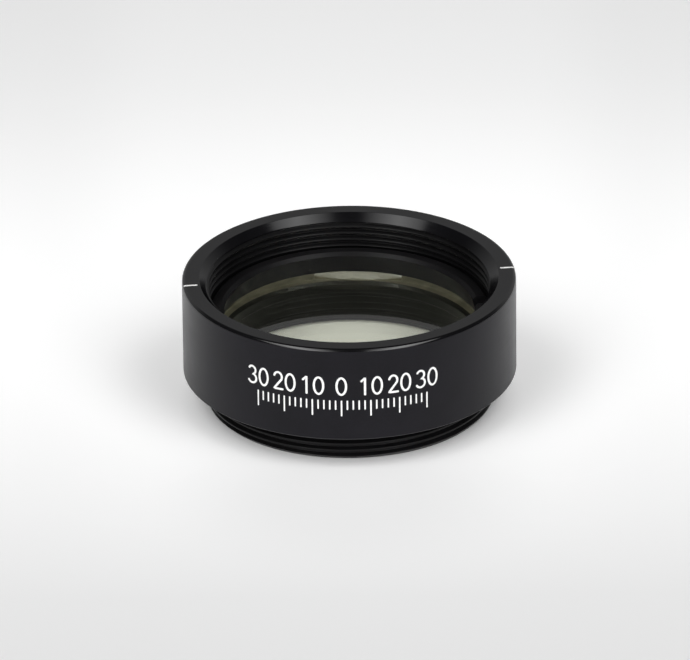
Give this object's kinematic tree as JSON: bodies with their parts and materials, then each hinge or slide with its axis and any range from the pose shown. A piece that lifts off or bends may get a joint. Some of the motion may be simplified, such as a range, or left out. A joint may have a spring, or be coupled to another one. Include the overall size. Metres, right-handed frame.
{
  "type": "mounted half-wave plate",
  "caption": "Round threaded optic mount that holds a half-wave retarder plate between a seat ledge and a screwed retaining ring, with a male-threaded nose and a female-threaded mouth.",
  "frame": {"origin": "centre of the nose's end face, which the mount stands on", "axes": "+Z along the optical axis, from the nose to the mouth; +X six degrees from the line of the two index marks"},
  "size_m": [0.0305, 0.0304, 0.0121],
  "materials": {
    "housing_black": "satin black anodised",
    "ring_black": "satin black anodised",
    "window_glass": "polished, anti-reflection coated",
    "retarder": "clear laminated film",
    "white_fill": "white engraving fill"
  },
  "bodies": {
    "root": {"housing": "housing_black", "retaining_ring": "ring_black", "entry_window": "window_glass", "retarder_film": "retarder", "exit_window": "window_glass"}
  },
  "joints": []
}
